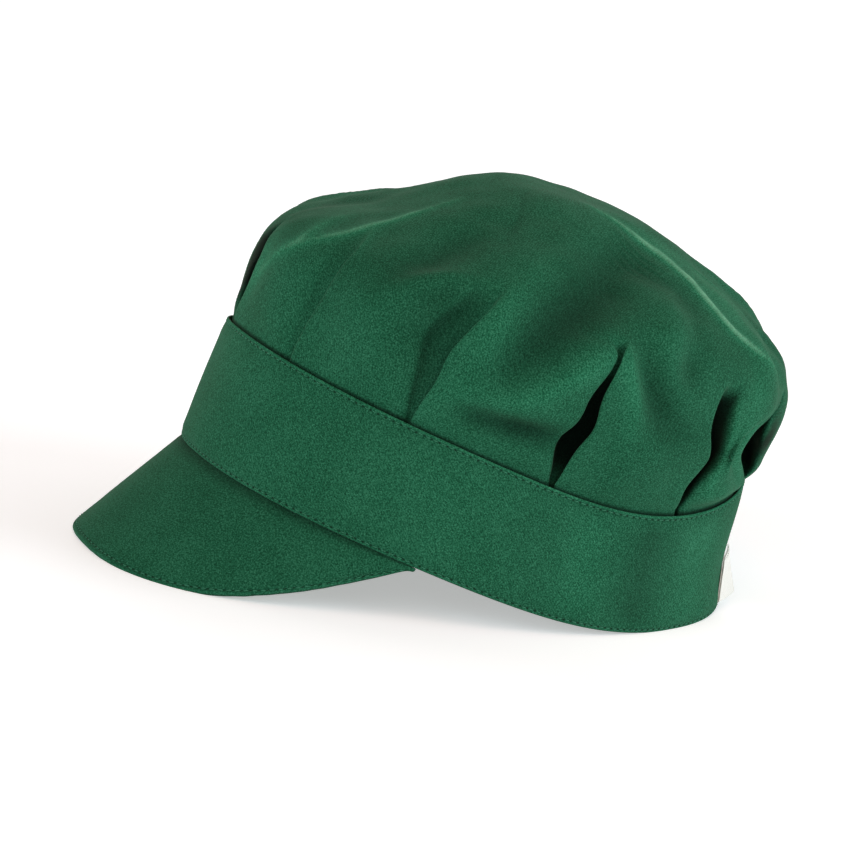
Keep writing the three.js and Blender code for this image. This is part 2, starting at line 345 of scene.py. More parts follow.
class MaterialMaker:
    """A node material under construction."""

    def __init__(self, name: str) -> None:
        """Starts an empty material."""
        self.material = bpy.data.materials.new(name)
        self.material.use_nodes = True
        self.tree = self.material.node_tree
        self.tree.nodes.clear()

    def add(self, kind: str, settings: dict | None = None, **sockets: object) -> Node:
        """Adds a node.

        Args:
            kind: The node's class name, after ShaderNode.
            settings: The node's own properties.
            **sockets: Input values or links, named as the inputs are with spaces as underscores. The names
                n_0, n_1 and so on pick an input by its number.

        Returns:
            The new node.
        """
        node = self.tree.nodes.new("ShaderNode" + kind)
        for key, value in (settings or {}).items():
            setattr(node, key, value)
        for key, value in sockets.items():
            number = key.removeprefix("n_")
            socket = node.inputs[int(number) if number.isdigit() else key.replace("_", " ")]
            if isinstance(value, NodeSocket):
                self.tree.links.new(value, socket)
            else:
                socket.default_value = value
        return node

    def sum_of(self, operation: str, *values: object) -> NodeSocket:
        """Adds a Math node for an operation on one value or more."""
        numbered = {f"n_{i}": value for i, value in enumerate(values)}
        return self.add("Math", {"operation": operation}, **numbered).outputs[0]

    def mixed(self, share: object, low: object, high: object, kind: str = "RGBA") -> NodeSocket:
        """Mixes two colours, or two plain values where the kind is FLOAT."""
        first, out = (6, 2) if kind == "RGBA" else (2, 0)
        pair = {f"n_{first}": low, f"n_{first + 1}": high}
        return self.add("Mix", {"data_type": kind}, Factor=share, **pair).outputs[out]

    def cloth_place(self) -> NodeSocket:
        """Adds the places on the flat cloth, in millimetres."""
        flat = self.add("UVMap", {"uv_map": "cloth"}).outputs["UV"]
        return self.add("Mapping", n_0=flat, Scale=(1 / MM, 1 / MM, 1.0)).outputs[0]

    def bands(self, direction: str, spacing: float, **sockets: object) -> NodeSocket:
        """Adds a wave texture of bands across a direction, so far apart in its own units."""
        settings = {"wave_type": "BANDS", "bands_direction": direction}
        scale = {"DIAGONAL": 0.444, "Y": 0.314}[direction] / spacing
        return self.add("TexWave", settings, Scale=scale, **sockets).outputs["Fac"]

    def noise(self, patch: float, **sockets: object) -> NodeSocket:
        """Adds a noise in the part's frame, its patches so many millimetres across."""
        place = self.add("TexCoord").outputs["Object"]
        return self.add("TexNoise", Vector=place, Scale=1.0 / (patch * MM), **sockets).outputs["Fac"]

    def bump(self, strength: float, distance: float, height: NodeSocket) -> NodeSocket:
        """Adds a bump of so many millimetres."""
        return self.add("Bump", Strength=strength, Distance=distance * MM, Height=height).outputs["Normal"]

    def finish(self, **sockets: object) -> Material:
        """Adds the shader with these sockets and the output, and hands the material over."""
        shader = self.add("BsdfPrincipled", **sockets)
        self.add("OutputMaterial", Surface=shader.outputs[0])
        return self.material


class SeamLine(NamedTuple):
    """A line of topstitching on a piece's flat cloth: its height there and its pitch, in millimetres."""

    height: float
    pitch: float


@dataclass(frozen=True)
class TwillCloth:
    """Piece-dyed cotton-polyester twill, pressed and matt, with a fine diagonal rib."""

    name: str = "cotton_polyester_twill"
    shade: str = "19533a"
    deep: str = "0a3a26"
    light: str = "2f6d52"
    # Colour of the painted highlight along the sharpest ridges.
    painted_highlight_colour: str = "8cb89c"
    # Colour of the painted shade in the needle holes.
    hole: str = "0b2c1d"
    rib: float = 0.9
    yarn: float = 0.55
    yarn_share: float = 0.95
    dye_patch: float = 20.0
    dye_share: float = 0.12
    relief: float = 0.09
    roughness: float = 0.9
    sheen: float = 0.09
    sheen_roughness: float = 0.45
    sheen_tint: str = "9ccaa2"
    gloss: float = 0.08
    hole_depth: float = 1.8
    hole_core: float = 0.2
    hole_reach: float = 0.55

    def make(self, name: str, lines: Sequence[SeamLine] = ()) -> Material:
        """Builds the material: ribs and yarns as bump, needle holes along the lines of topstitching, and
        the painted shade and painted highlight that the shade attribute holds.

        Args:
            name: What the cloth is used for.
            lines: Lines of topstitching, all of one pitch.

        Returns:
            The finished material.
        """
        m = MaterialMaker(f"{self.name}_{name}")
        flat = m.cloth_place()
        # The real rib is about 0.5 mm; it is drawn coarser, because that is too fine to show here.
        ribs = m.bands("DIAGONAL", self.rib, Vector=flat, Distortion=1.4, Detail=2.0, Detail_Scale=3.0)
        yarns = m.noise(self.yarn, Detail=2.0, Roughness=0.7)
        weave = height = m.mixed(self.yarn_share, ribs, yarns, "FLOAT")
        dyed = m.mixed(self.dye_share, weave, m.noise(self.dye_patch, Detail=3.0), "FLOAT")
        colour = m.add("ValToRGB", Fac=dyed)
        stops = colour.color_ramp.elements
        stops[0].position, stops[0].color = 0.36, linear_colour(self.deep)
        stops[1].position, stops[1].color = 0.66, linear_colour(self.light)
        stops.new(0.5).color = linear_colour(self.shade)
        # Painted shade from the shade attribute darkens the colour; below 0 it is painted highlight.
        darker = m.add("Attribute", {"attribute_name": "shade"}).outputs["Fac"]
        toned = m.add("VectorMath", {"operation": "SCALE"}, n_0=colour.outputs["Color"],
                      Scale=m.sum_of("SUBTRACT", 1.0, darker))
        # Painted highlight: where the cloth is painted lightest, along the sharpest ridges, it goes pale
        # and greyish.
        painted_highlight = m.add("MapRange", Value=darker, From_Min=-0.55, From_Max=-1.6, To_Min=0.0, To_Max=0.5)
        shown = m.mixed(painted_highlight.outputs[0], toned.outputs[0], linear_colour(self.painted_highlight_colour))
        if lines:
            # Needle holes: a dent in the bump, and painted shade in the colour.
            hole = self.needle_holes(m, flat, lines)
            shown = m.mixed(hole, shown, linear_colour(self.hole))
            height = m.sum_of("MULTIPLY_ADD", hole, -self.hole_depth, weave)
        return m.finish(Base_Color=shown, Roughness=self.roughness, Normal=m.bump(1.0, self.relief, height),
                        Sheen_Weight=self.sheen, Sheen_Roughness=self.sheen_roughness,
                        Sheen_Tint=linear_colour(self.sheen_tint), Specular_IOR_Level=self.gloss)

    def needle_holes(self, m: MaterialMaker, place: NodeSocket, lines: Sequence[SeamLine]) -> NodeSocket:
        """Marks the needle holes, one at each end of every stitch, for their dent and their painted shade.

        Args:
            m: The material under construction.
            place: Places on the flat cloth, in millimetres.
            lines: The lines of topstitching.

        Returns:
            A socket that is 0.9 in a hole and 0 elsewhere.
        """
        parts = m.add("SeparateXYZ", Vector=place)
        along = m.sum_of("PINGPONG", parts.outputs["X"], 0.5 * lines[0].pitch)
        gaps = [m.sum_of("ABSOLUTE", m.sum_of("SUBTRACT", parts.outputs["Y"], float(line.height)))
                for line in lines]
        nearest = reduce(lambda one, other: m.sum_of("MINIMUM", one, other), gaps)
        both = m.add("CombineXYZ", X=along, Y=nearest)
        reach = m.add("VectorMath", {"operation": "LENGTH"}, n_0=both.outputs[0])
        spot = m.add("MapRange", {"interpolation_type": "SMOOTHSTEP"}, Value=reach.outputs["Value"],
                     From_Min=self.hole_core, From_Max=self.hole_reach, To_Min=0.9, To_Max=0.0)
        return spot.outputs[0]


@dataclass(frozen=True)
class SewingThread:
    """Spun polyester sewing thread in the cloth's green: a twisted strand with a slight gloss."""

    name: str = "spun_polyester_thread"
    shade: str = "2f7256"
    twist: float = 0.1554
    relief: float = 0.05
    roughness: float = 0.6
    gloss: float = 0.2

    def make(self) -> Material:
        """Builds the material, its twist as bump.

        Returns:
            The finished material.
        """
        m = MaterialMaker(self.name)
        place = m.add("TexCoord").outputs["Object"]
        twist = m.bands("DIAGONAL", self.twist * MM, Vector=place, Distortion=1.0)
        return m.finish(Base_Color=linear_colour(self.shade), Roughness=self.roughness,
                        Normal=m.bump(0.6, self.relief, twist), Specular_IOR_Level=self.gloss)


@dataclass(frozen=True)
class WovenTape:
    """White damask label tape: a close satin weave, smooth and faintly glossy."""

    name: str = "woven_label_tape"
    shade: str = "efeee9"
    shadow: str = "dcdad2"
    pick: float = 0.2512
    relief: float = 0.05
    roughness: float = 0.6
    sheen: float = 0.1

    def make(self) -> Material:
        """Builds the material, its picks as fine cross lines.

        Returns:
            The finished material.
        """
        m = MaterialMaker(self.name)
        picks = m.bands("Y", self.pick, Vector=m.cloth_place(), Distortion=0.4)
        colour = m.mixed(picks, linear_colour(self.shadow), linear_colour(self.shade))
        return m.finish(Base_Color=colour, Roughness=self.roughness, Normal=m.bump(0.7, self.relief, picks),
                        Sheen_Weight=self.sheen)


@dataclass(frozen=True)
class StudioPaper:
    """Matt white studio paper, very slightly mottled and lit from behind, so that it casts light upward."""

    name: str = "studio_paper"
    shade: str = "f0f2f4"
    mottle: str = "ecedf0"
    patch: float = 1000.0 / 6.0
    glow: float = 0.43

    def make(self) -> Material:
        """Builds the material.

        Returns:
            The finished material.
        """
        m = MaterialMaker(self.name)
        patches = m.noise(self.patch, Detail=2.0)
        colour = m.mixed(patches, linear_colour(self.mottle), linear_colour(self.shade))
        return m.finish(Base_Color=colour, Roughness=0.9, Emission_Color=linear_colour("ffffff"),
                        Emission_Strength=self.glow)


class Over(Enum):
    """Which side's panel lies on top at a pleat: the one further round the head, or the one before."""

    FURTHER = 1
    BEFORE = -1


class Pleat(NamedTuple):
    """A pleat in the crown, from the seam up.

    The path gives places (share of the way up, angle) of the top panel's folded edge, and ends where the
    pleat does. The hollow beside that edge has its width and its depth at five places evenly up the path.
    Where it leans, it runs on under the lower panel by that many millimetres. The folded edge starts to
    open out at fades, a share of the path. Dark is painted shade: how much darker the cloth is painted
    inside the hollow, where shade falls.
    """

    path: Sequence[tuple[float, float]]
    hidden: float
    width: Sequence[float]
    depth: Sequence[float]
    over: Over
    dark: float = 0.9
    lean: float = 0.0
    fades: float = 0.55


class Fold(NamedTuple):
    """A soft fold: places (angle, share of the way up), half width and lift, in millimetres.

    Its fourth number is painted light: how much lighter the cloth is painted along it, as a painted
    highlight on a crest; below 0 it is painted shade, darker, as down in a fold. Crest is the power by
    which it falls off sideways: low for a sharp crest, high for a flat one.
    """

    along: Sequence[tuple[float, float]]
    width: float
    lift: float
    tone: float = 0.0
    crest: float = 2.0


class Station(NamedTuple):
    """A point of a pleat's cross-section, along the seam and in from the surface.

    Fully folded it lies at hidden times the fold's hidden width, plus edge millimetres, less under
    times the hollow's width and lean times the pleat's lean; laid flat it lies at opened. It sinks by
    layer thicknesses of cloth and by hollow shares of the hollow's depth.
    """

    opened: float
    hidden: float
    edge: float
    under: float
    lean: float
    layer: float
    hollow: float


FOLD_STATIONS = tuple(Station(*row) for row in (
    (12, 0, 7.6, 0, 0, 0, 0), (7.5, 0, 4.6, 0, 0, 0, 0), (4.6, 0, 2.2, 0, 0, -0.15, 0),
    (3.2, 0, 0.2, 0, 0, -0.05, 0), (2.2, 0, -0.55, 0, 0, 0.35, 0.02),
    (1.3, 0, -0.35, 0, 0, 0.95, 0.1), (0.4, 0.5, 0, 0, 0.05, 1.05, 0.32),
    (-0.5, 1, 0, 0, 0.15, 1.5, 0.62), (-1.5, 0.95, -0.3, 0, 0.3, 2.1, 0.85),
    (-2.8, 0.4, -0.5, 0.1, 0.6, 2.2, 1), (-4.4, 0, -0.6, 0.45, 1, 2.1, 1),
    (-6.2, 0, -0.8, 0.85, 0.95, 2, 0.72), (-8, 0, -0.9, 1.02, 0.55, 1.9, 0.32),
    (-9.8, 0, -1.2, 1.14, 0.1, 1.75, 0.08), (-12, 0, -2, 1.25, 0, 1.4, -0.02),
    (-15, 0, -3.8, 1.38, 0, 0.6, -0.03),
))


@dataclass
class Crown:
    """The crown: one round of cloth, pleated into the band and puffed above it.

    Sizes are in millimetres, and heights run up the cloth from the seam. How far up the seam's tilt is
    levelled, how far up the pleats reach and the folds' softened ends are shares.
    """

    form: HeadForm
    cloth_wall: float = 0.5
    tuck: float = 6.5
    tuck_inset: float = 1.5
    layer: float = 0.8
    puff: float = 1.4
    swell: float = 0.4
    swell_length: float = 46.0
    small_swell: float = 0.14
    small_length: float = 17.0
    held_height: float = 9.0
    fold_ends: float = 0.1
    puff_rises: float = 16.0
    puff_fades: float = 40.0
    seam_shade: float = 0.85
    shaded_height: float = 1.3
    seam_inset: float = 0.7
    inset_height: float = 10.0
    tucked_height: float = 5.0
    open_reach: float = 88.0
    top_ring: float = 3.0
    levelled: float = 0.5
    panel_columns: int = 6
    rows_low: int = 23
    rows_high: int = 22
    pleated: float = 0.36

    seam_rows = (-3.0, -0.6, 0.5, 1.4, 2.6)

    # Level sections of the smooth form: height, and reach to the front, the back and either side.
    sections = (
        (43.5, 95.4, 98.8, 80.8), (50, 94.8, 100.3, 82.5), (60, 93.8, 101.8, 85.5), (72, 92.6, 103, 88),
        (82, 90.2, 101.6, 88.5), (91, 83.8, 96.5, 85.5), (98.5, 72.5, 89.5, 78.5), (106, 57, 79.5, 67),
        (113.5, 41.5, 65, 52), (120.5, 27, 47, 36), (125.5, 14, 27, 20), (127.5, 0.01, 0.01, 0.01),
    )
    pleats = (
        Pleat([(0, 18.8), (0.1, 20), (0.2, 21.8), (0.28, 22.5), (0.37, 20.5), (0.43, 15.5)], 10,
              (1, 4, 6, 6, 4), (0.6, 1.1, 1.4, 1.1, 0), Over.FURTHER, dark=0.1),
        Pleat([(0, 49.7), (0.07, 51.6), (0.13, 53.4), (0.2, 54.4), (0.28, 57), (0.36, 59.8), (0.42, 61.5)],
              14, (1, 5.5, 9.5, 12, 12), (0.8, 3.4, 5, 5, 0), Over.FURTHER, dark=0.3, fades=0.42),
        Pleat([(0, 87.2), (0.04, 87.5), (0.09, 88.5), (0.14, 90.4), (0.17, 90.3), (0.2, 89.6), (0.24, 89.5),
              (0.29, 90.4), (0.34, 91.2), (0.37, 91.6)], 14, (0.8, 5.2, 3.2, 0.5, 0), (1.5, 10, 11, 3.8, 0),
              Over.FURTHER, dark=0.93, fades=0.85),
        Pleat([(0, 123.8), (0.03, 122.2), (0.055, 121), (0.085, 121.2), (0.11, 122.6), (0.135, 123.4),
              (0.155, 122.6), (0.2, 120), (0.25, 119.8), (0.31, 122.5)], 13, (1.2, 4.6, 5.6, 7.4, 2.6),
              (2, 9, 12, 10, 0), Over.BEFORE, dark=0.95, lean=9, fades=0.5),
        Pleat([(0, 149), (0.037, 147), (0.085, 141.2), (0.11, 138), (0.133, 135), (0.158, 134),
              (0.182, 134.8), (0.203, 137), (0.215, 140.5), (0.224, 145), (0.235, 149.5), (0.26, 153)], 8,
              (1, 10, 15.5, 12.5, 1), (0.5, 6.5, 11, 8, 0), Over.BEFORE, dark=0.95, lean=20, fades=0.8),
        Pleat([(0, 184), (0.1, 183.4), (0.2, 181.5), (0.33, 178)], 12, (1, 4.5, 6, 3, 0), (1, 6, 8, 4, 0),
              Over.BEFORE, dark=0.85, lean=4, fades=0.8),
        Pleat([(0, 216), (0.1, 218.5), (0.2, 220), (0.34, 221.5)], 13, (1, 4, 5, 1.8, 0), (1, 8, 11, 5, 0),
              Over.FURTHER, fades=0.8),
        Pleat([(0, 247), (0.1, 245.5), (0.2, 244.2), (0.35, 244.6)], 13, (1, 5.4, 6.4, 2.6, 0),
              (1, 7, 10, 4.6, 0), Over.FURTHER, lean=6, fades=0.8),
        Pleat([(0, 276), (0.1, 274.5), (0.2, 272.5), (0.36, 271)], 13, (1, 3.6, 4.6, 1.6, 0),
              (1.5, 9, 12, 5, 0), Over.BEFORE, fades=0.8),
        Pleat([(0, 308), (0.12, 305.5), (0.25, 302), (0.41, 299)], 13, (1, 4, 7, 8, 7),
              (0.8, 2.8, 4.6, 4.4, 0), Over.BEFORE, dark=0.36, fades=0.42),
        Pleat([(0, 348.8), (0.043, 348.8), (0.095, 349.4), (0.173, 351), (0.225, 350), (0.26, 347.5),
              (0.3, 344.5), (0.36, 341)], 12, (1, 8, 13, 11, 3), (0.5, 7, 10, 7.5, 0), Over.FURTHER,
              dark=0.95, lean=15, fades=0.8),
    )
    # Each fold's fourth number is painted light: painted highlight along crests, painted shade down
    # valleys.
    folds = (
        Fold([(6, 0.275), (9, 0.315), (12, 0.36), (14, 0.42), (14.5, 0.5), (14.2, 0.57), (13, 0.66)], 2.4,
             1.1, 1.15, 1.2),
        Fold([(-4, 0.17), (-0.5, 0.215), (2.5, 0.25), (5, 0.285), (5, 0.325), (2.5, 0.375), (-0.5, 0.43)],
             2.4, 1, 1, 1.2),
        Fold([(23, 0.345), (20, 0.388), (16.2, 0.43)], 2.2, 0.8, 0.25, 1.3),
        Fold([(16, 0.16), (20, 0.22), (23, 0.3)], 8, -1.2, -0.12),
        Fold([(-8, 0.06), (-7, 0.15), (-5.5, 0.2), (-8, 0.26)], 6, 0, 0.5),
        Fold([(-22, 0.24), (-30, 0.33), (-37, 0.4), (-45, 0.48), (-50, 0.56), (-47, 0.65)], 16, -2.4, 0.1),
        Fold([(-16, 0.17), (-17, 0.24), (-20, 0.3)], 9, -2.4, 0),
        Fold([(-17, 0.05), (-19.5, 0.1), (-21.5, 0.15), (-22.5, 0.2), (-24.5, 0.25), (-27, 0.29)], 6, 0,
             -1.2, 4),
        Fold([(-14, 0.33), (-20, 0.38), (-26, 0.45), (-26, 0.56)], 10, 0, -0.24),
        Fold([(34.5, 0.318), (38.5, 0.4), (40.5, 0.5), (44, 0.605)], 8.5, -3.4, -0.3),
        Fold([(38, 0.28), (43.5, 0.355), (49.5, 0.395), (57, 0.405)], 4.5, 1.6, 0.1),
        Fold([(46, 0.17), (47, 0.24), (48.5, 0.31), (51, 0.37)], 8, -1, -0.26),
        Fold([(41, 0.845), (51.8, 0.728), (54.5, 0.63), (56.2, 0.542)], 2.6, -1, -0.12, 1.4),
        Fold([(56, 0.08), (60.5, 0.2), (62, 0.33), (64.5, 0.435), (69, 0.54)], 7.5, 2.2, 0.3),
        Fold([(64, 0.17), (68.3, 0.21), (72, 0.27), (75, 0.35), (80, 0.44), (87, 0.52), (99, 0.63),
             (120, 0.7)], 11, -8, -0.56),
        Fold([(62, 0.13), (70.2, 0.158), (76.2, 0.205), (84, 0.278), (90, 0.33)], 6.5, 4.6, 0.52, 1.7),
        Fold([(60, 0.08), (73.5, 0.094), (84, 0.1)], 4.6, -4.6, -0.7),
        Fold([(91, 0.34), (93.2, 0.292), (95.2, 0.25), (97.2, 0.212), (99.2, 0.15)], 4.5, 3.6, 0.46, 1.6),
        Fold([(97.5, 0.34), (99.5, 0.28), (103, 0.235), (107, 0.2), (114, 0.17)], 6, -5, -0.42),
        Fold([(113, 0.52), (107.5, 0.43), (103.5, 0.37), (104, 0.31)], 7.5, 2.6, 0.16),
        Fold([(112, 0.38), (109.5, 0.32), (107.8, 0.285)], 5.5, -2.8, -0.25),
        Fold([(108, 0.66), (114, 0.61), (119, 0.54), (116, 0.46)], 8, -1.6, -0.22),
        Fold([(112, 0.86), (124, 0.8), (129, 0.75), (131, 0.7), (131.5, 0.64), (130.6, 0.57), (130, 0.508),
             (131.2, 0.45), (134, 0.408), (138, 0.368), (143, 0.325)], 1.9, 1.4, 2, 1.1),
        Fold([(128, 0.84), (138, 0.76), (142, 0.66), (140, 0.56), (139, 0.46), (143, 0.39)], 8, 0, 0.5),
        Fold([(168, 0.66), (170, 0.6), (169, 0.52), (165, 0.44), (161, 0.36)], 13, -2),
        Fold([(163, 0.42), (161, 0.38), (159, 0.34)], 8, -1.6),
        Fold([(151, 0.2), (150, 0.165), (149.5, 0.13), (151, 0.09)], 5.5, 0, -0.9, 4),
        Fold([(150, 0.68), (155, 0.6), (156, 0.5), (154, 0.4)], 12, -3.2, 0.15),
        Fold([(147.5, 0.65), (150, 0.6), (149, 0.505), (147.5, 0.405)], 2.8, 1, 0.4, 1.2),
        Fold([(152, 0.42), (152, 0.35), (152, 0.28)], 9, -2.6, 0.2),
        Fold([(124.8, 0.28), (126, 0.22), (126.6, 0.18), (128, 0.1), (128.5, 0.045)], 3.4, 1.4, 0.4, 1.6),
        Fold([(144.5, 0.035), (139, 0.085), (133.6, 0.135), (133.4, 0.175), (136, 0.21), (142, 0.235)], 2.6,
             0.4, 0.4),
        Fold([(141, 0.02), (134, 0.035), (128, 0.03)], 6, 2.2, 0.25),
        Fold([(136, 0.36), (134, 0.31), (131, 0.25), (130, 0.19)], 7, 0, 0.28),
        Fold([(162, -0.01), (160, 0.01), (157, 0.03)], 6, 3.6, 0.1),
        Fold([(290, 0.17), (284, 0.33), (264, 0.52), (240, 0.66)], 12, -7.5, -0.42),
        Fold([(302, 0.12), (284, 0.2), (272, 0.32)], 7, 4.4, 0.25, 1.7),
        Fold([(262, 0.3), (258, 0.2), (254, 0.14)], 5, 3.6, 0.25, 1.6),
        Fold([(232, 0.74), (227, 0.6), (231, 0.45), (222, 0.34)], 4.2, 3.6, 0.4, 1.2),
        Fold([(198, 0.3), (190, 0.5), (200, 0.7)], 9, -4.4, -0.28),
        Fold([(176, 0.34), (174, 0.5), (168, 0.66)], 5, 3, 0.25, 1.3),
        Fold([(330, 0.33), (338, 0.48), (325, 0.64)], 9, -1.6),
        Fold([(262, 0.085), (254, 0.1), (250, 0.14)], 5, -3.2, -0.3),
        Fold([(316, 0.3), (312, 0.42), (300, 0.52)], 6, 2.8, 0.2, 1.5),
        Fold([(236, 0.3), (246, 0.42), (250, 0.54)], 7, -3.2, -0.25),
    )

    def __post_init__(self) -> None:
        """Measures the way up the cloth through the sections."""
        self.table = np.array(self.sections)
        self.lengths = run_along(np.stack([self.table[:, 1:].mean(axis=1), self.table[:, 0]], axis=1))
        self.total = float(self.lengths[-1])

    def section_at(self, share: Array) -> Array:
        """Height and reaches at a share of the way up, smoothly through the sections."""
        length = np.clip(share, 0.0, 1.0) * self.total
        cell = np.clip(np.searchsorted(self.lengths, length) - 1, 0, len(self.table) - 2)
        t = (length - self.lengths[cell]) / (self.lengths[cell + 1] - self.lengths[cell])
        return between(self.table, cell, t[..., None])

    def smooth_point(self, angle: Array, share: Array) -> Array:
        """A point of the crown before it is folded.

        Args:
            angle: Radians round the head.
            share: Share of the way up the cloth from the seam to the top.

        Returns:
            Points in the cap's own frame.
        """
        angle, share = np.broadcast_arrays(angle, share)
        at = self.section_at(share)
        oval = Oval(*(np.maximum(at[..., k], 0.01) for k in (1, 2, 3)))
        levelling = np.clip(1.0 - share / self.levelled, 0.0, 1.0) ** 1.5
        height = at[..., 0] + (self.form.seam_height(angle) - self.form.band_height) * levelling
        return around(angle, oval.radius(angle), height)

    def outward(self, angle: Array, share: Array) -> Array:
        """The smooth crown's outward direction."""
        step = 0.01
        round_head = self.smooth_point(angle + step, share) - self.smooth_point(angle - step, share)
        share = np.clip(share, step, 1.0 - step)
        up_cloth = self.smooth_point(angle, share + step) - self.smooth_point(angle, share - step)
        return unit(np.cross(round_head, up_cloth))

    def pleat_columns(self, pleat: Pleat, up: Array) -> Array:
        """Where a pleat's stations lie at each height, in order round the head.

        Args:
            pleat: The pleat.
            up: Millimetres up the cloth, one for each row.

        Returns:
            Three layers of rows by stations: angles in radians, depths in millimetres and painted shades.
        """
        share = np.clip(up / self.total, 0.0, 1.0)
        heights, angles = zip(*pleat.path)
        fine = np.linspace(0.0, len(heights) - 1.0, 120)
        centre = np.radians(np.interp(share, smooth_through(heights, fine), smooth_through(angles, fine)))
        run = np.clip(share / heights[-1], 0.0, 1.0)
        width, depth = (smooth_through(sizes, 4.0 * run).clip(0.0) for sizes in (pleat.width, pleat.depth))
        lean = pleat.lean * depth / max(pleat.depth)
        reach = np.hypot(*np.moveaxis(self.smooth_point(centre, share), -1, 0)[:2])
        opened = smooth_step((run - pleat.fades) / (1.0 - pleat.fades))
        hidden = pleat.hidden * (1.0 - run) ** 0.7
        layers = self.layer * (1.0 - opened) * mix(0.55, 1.0, smooth_step(up / 3.0))
        # Painted shade down in the hollow, where shade falls.
        deep = pleat.dark * smooth_step(1.8 * depth / max(pleat.depth))
        placed = []
        for s in FOLD_STATIONS:
            folded = s.hidden * hidden + s.edge - s.under * width - s.lean * lean
            flat = s.opened * np.minimum(1.0, reach / self.open_reach)
            along = mix(folded, flat, opened)
            angle = centre + pleat.over.value * along / np.maximum(reach, 1.0) * np.minimum(reach, 1.0)
            # A painted contact shadow on the cloth tucked under the top panel's folded edge.
            covered = 0.6 * smooth_step((s.layer - 0.6) / 0.8) * max(0.0, 1.0 - s.under / 0.45)
            shade = np.maximum(deep * smooth_step(s.hollow / 0.32), covered * (1.0 - opened))
            placed.append((angle, s.layer * layers + s.hollow * depth, shade))
        return np.moveaxis(np.array(placed), 0, -1)[..., ::-pleat.over.value]

    def columns(self, up: Array) -> tuple[Array, Array, Array]:
        """All the crown's columns: each pleat's, then a few across the panel to the next pleat.

        Args:
            up: Millimetres up the cloth, one for each row.

        Returns:
            Angles in radians, depths in millimetres and painted shades, rows by columns.
        """
        parts = [self.pleat_columns(pleat, up) for pleat in self.pleats]
        rising = smooth_step(up / self.puff_rises) * smooth_step(2.0 - up / self.puff_fades)
        whole = []
        for i, part in enumerate(parts):
            after = parts[(i + 1) % len(parts)][..., 0].copy()
            after[0] += 2.0 * math.pi if i + 1 == len(parts) else 0.0
            whole.append(part)
            for j in range(self.panel_columns):
                share = (j + 1) / (self.panel_columns + 1)
                column = mix(part[..., -1], after, share)
                column[1] -= self.puff * math.sin(math.pi * share) * rising
                whole.append(column[..., None])
        angle, depth, shade = np.concatenate(whole, axis=-1)
        even = angle[-1].mean() - math.pi + 2.0 * math.pi * np.arange(angle.shape[1]) / angle.shape[1]
        return mix(angle, even, smooth_step((up / self.total - 0.5) / 0.35)[:, None]), depth, shade

    def cage(self) -> Mesh:
        """The crown's cage: columns that follow the pleats, rows up the cloth.

        Returns:
            The cage's mesh, in the cap's own frame, with its outward directions kept.
        """
        low = np.linspace(4.0, self.pleated * self.total, self.rows_low)
        step = (low[1] - low[0]) / (self.total - low[-1])
        even = np.linspace(0.0, 1.0, self.rows_high + 1)[1:]
        high = low[-1] + (self.total - low[-1]) * mix(even ** 2, even, step * self.rows_high + 0.25)
        up = np.concatenate([[-self.tuck, *self.seam_rows], low, high])
        angle, depth, shade = self.columns(up)
        height = np.broadcast_to(up[:, None], angle.shape)
        share = np.clip(height / self.total, 0.0, 1.0)
        outward = self.outward(angle, share)
        level = unit(outward * LEVEL)
        free = smooth_step(height / self.tucked_height)[..., None]
        tucked = self.form.band_point(angle, 1.0, self.tuck_inset, height) - level * depth[..., None]
        puffed = self.smooth_point(angle, share) - outward * depth[..., None]
        drawn_in = self.seam_inset * (1.0 - smooth_step(height / self.inset_height))
        puffed -= level * drawn_in[..., None]
        points = mix(tucked, puffed, free)
        points[-1] = mix(points[-1].mean(axis=0), points[-1], 0.5)
        # A painted shadow along the seam, darkest where the crown comes out of the band.
        shade = np.maximum(shade, self.seam_shade * (1.0 - smooth_step(height / self.shaded_height)))
        return grid_mesh("crown", points, self.flat_places(points, up), True, False, shade, outward)

    def flat_places(self, points: Array, up: Array) -> Array:
        """Where each place of the cage lies on the flat round of cloth that it was cut from.

        Args:
            points: Rows by columns of points.
            up: Millimetres up the cloth for each row.

        Returns:
            Rows by one more column of places, in metres.
        """
        steps = np.linalg.norm(np.roll(points, -1, axis=1) - points, axis=2)
        turn = np.cumsum(np.pad(steps, ((0, 0), (1, 0))), axis=1)
        turn *= 2.0 * math.pi / turn[:, -1:]
        radius = (self.total - up)[:, None] * MM
        return np.stack([radius * np.sin(turn), -radius * np.cos(turn)], axis=-1)

    def close_top(self, mesh: Mesh) -> None:
        """Gathers the ring of points round the crown's top into one point."""
        with edited(mesh) as bm:
            top = max(vert.co.z for vert in bm.verts)
            lowest = top - self.top_ring * MM
            ring = [vert for vert in bm.verts if vert.is_boundary and vert.co.z > lowest]
            middle = sum((vert.co for vert in ring), Vector()) / len(ring)
            bmesh.ops.pointmerge(bm, verts=ring, merge_co=middle)

    def fold_marks(self, points: Array) -> tuple[Array, Array]:
        """How far the soft folds lift each point, in millimetres, and how much lighter they are painted
        there.
        """
        lift, lighter = np.zeros(len(points)), np.zeros(len(points))
        for fold in self.folds:
            t = np.linspace(0.0, len(fold.along) - 1.0, 40)
            angle, share = (smooth_through(stops, t) for stops in zip(*fold.along))
            line = self.smooth_point(np.radians(angle), share)
            away = np.linalg.norm(points[:, None] - line[None], axis=2)
            near = away.argmin(axis=1)
            along = near / (len(line) - 1)
            felt = np.sin(math.pi * mix(self.fold_ends, 1.0 - self.fold_ends, along))
            felt *= np.exp(-(away.min(axis=1) / fold.width) ** fold.crest)
            lift += fold.lift * felt
            lighter += fold.tone * felt
        return lift, lighter

